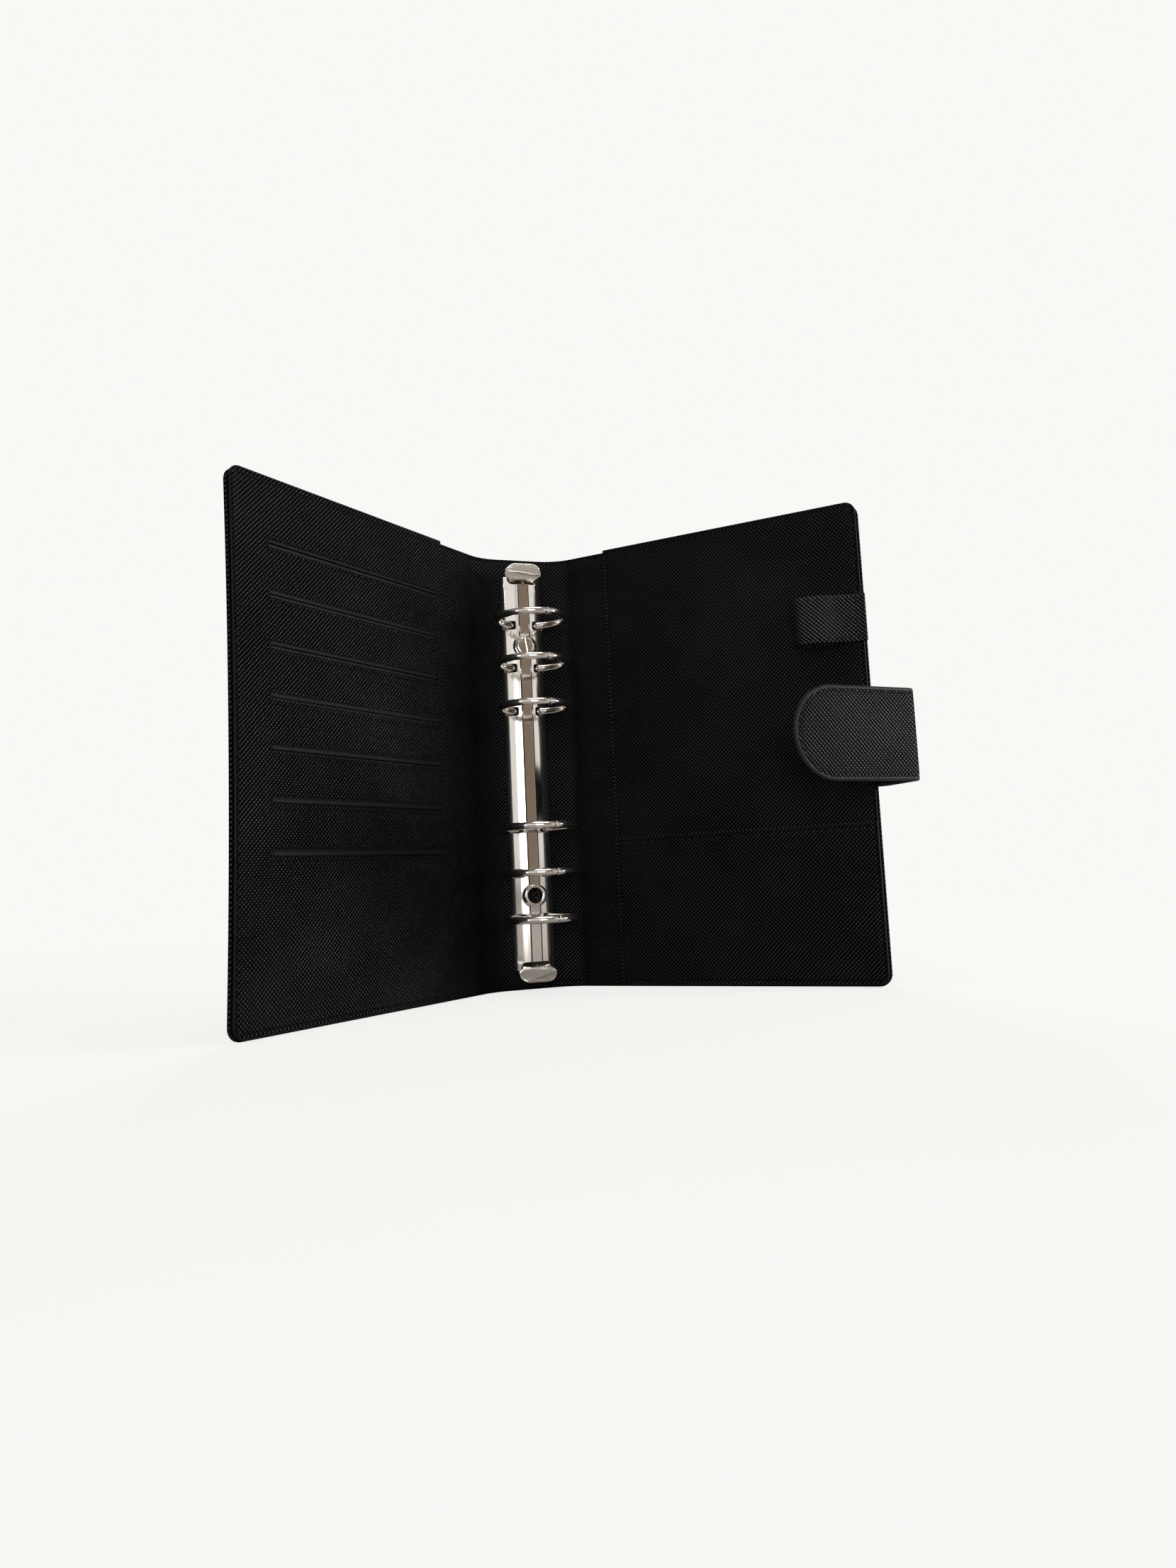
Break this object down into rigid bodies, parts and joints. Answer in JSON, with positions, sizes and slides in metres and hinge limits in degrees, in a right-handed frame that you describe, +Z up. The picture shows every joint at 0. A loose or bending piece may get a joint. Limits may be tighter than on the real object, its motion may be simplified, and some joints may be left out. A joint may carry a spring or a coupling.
{
  "type": "six-ring planner binder",
  "caption": "Open planner binder in black cross-grained leather, with a polished ring mechanism, card slits, pockets, pen loop and closure strap.",
  "frame": {"origin": "middle of the spine leather's bottom edge, where the spine stands", "axes": "+Z up along the spine, -Y towards the reader, +X towards the back cover; the binder stands open in a V on its bottom edges"},
  "size_m": [0.242, 0.1328, 0.19],
  "materials": {
    "leather": "black cross-grained coated leather, semi-gloss",
    "strap_leather": "charcoal cross-grained coated leather with painted edges",
    "card_board": "plain grey card",
    "polished_nickel": "polished nickel plate",
    "plain_steel": "plain bright steel"
  },
  "bodies": {
    "spine": {"spine_leather": "leather", "spine_board": "card_board", "spine_liner": "leather", "ring_plate": "polished_nickel", "plate_screw": "polished_nickel", "screw_post": "plain_steel", "plate_eyelet": "polished_nickel"},
    "front_cover": {"front_leather": "leather", "front_board": "card_board", "front_liner": "leather", "card_panel": "leather", "front_snap": "plain_steel"},
    "back_cover": {"back_leather": "leather", "back_board": "card_board", "back_liner": "leather", "back_panel": "leather", "lower_pocket": "leather", "pen_loop": "leather", "strap_base": "strap_leather"},
    "strap": {"strap_flap": "strap_leather", "strap_snap": "plain_steel"},
    "left_rings": {"rail_left": "plain_steel", "ring_left_1": "polished_nickel", "ring_left_2": "polished_nickel", "ring_left_3": "polished_nickel", "ring_left_4": "polished_nickel", "ring_left_5": "polished_nickel", "ring_left_6": "polished_nickel"},
    "right_rings": {"rail_right": "plain_steel", "ring_right_1": "polished_nickel", "ring_right_2": "polished_nickel", "ring_right_3": "polished_nickel", "ring_right_4": "polished_nickel", "ring_right_5": "polished_nickel", "ring_right_6": "polished_nickel"},
    "top_lever": {"lever_top": "polished_nickel"},
    "bottom_lever": {"lever_bottom": "polished_nickel"}
  },
  "joints": [
    {"name": "front_cover_hinge", "type": "hinge", "parent": "spine", "child": "front_cover", "pos_m": [-0.02247, -0.0051, 0], "axis": [0, 0, 1], "range_deg": [-40.7, 49.3]},
    {"name": "back_cover_hinge", "type": "hinge", "parent": "spine", "child": "back_cover", "pos_m": [0.02247, -0.0051, 0], "axis": [0, 0, -1], "range_deg": [-46.2, 43.8]},
    {"name": "strap_fold", "type": "hinge", "parent": "back_cover", "child": "strap", "pos_m": [0.11629, -0.12248, 0], "axis": [0, 0, -1], "range_deg": [-80, 48]},
    {"name": "left_rings_open", "type": "hinge", "parent": "spine", "child": "left_rings", "pos_m": [-0.00835, -0.0032, 0], "axis": [0, 0, -1], "range_deg": [0, 10]},
    {"name": "right_rings_open", "type": "hinge", "parent": "spine", "child": "right_rings", "pos_m": [0.00835, -0.0032, 0], "axis": [0, 0, 1], "range_deg": [0, 10]},
    {"name": "top_lever_press", "type": "hinge", "parent": "spine", "child": "top_lever", "pos_m": [0, -0.0053, 0.1767], "axis": [-1, 0, 0], "range_deg": [0, 20]},
    {"name": "bottom_lever_press", "type": "hinge", "parent": "spine", "child": "bottom_lever", "pos_m": [0, -0.0053, 0.0113], "axis": [1, 0, 0], "range_deg": [0, 20]}
  ],
  "couplings": [
    {"joint": "right_rings_open", "follows": "left_rings_open", "ratio": 1},
    {"joint": "top_lever_press", "follows": "left_rings_open", "ratio": 2},
    {"joint": "bottom_lever_press", "follows": "left_rings_open", "ratio": 2}
  ]
}
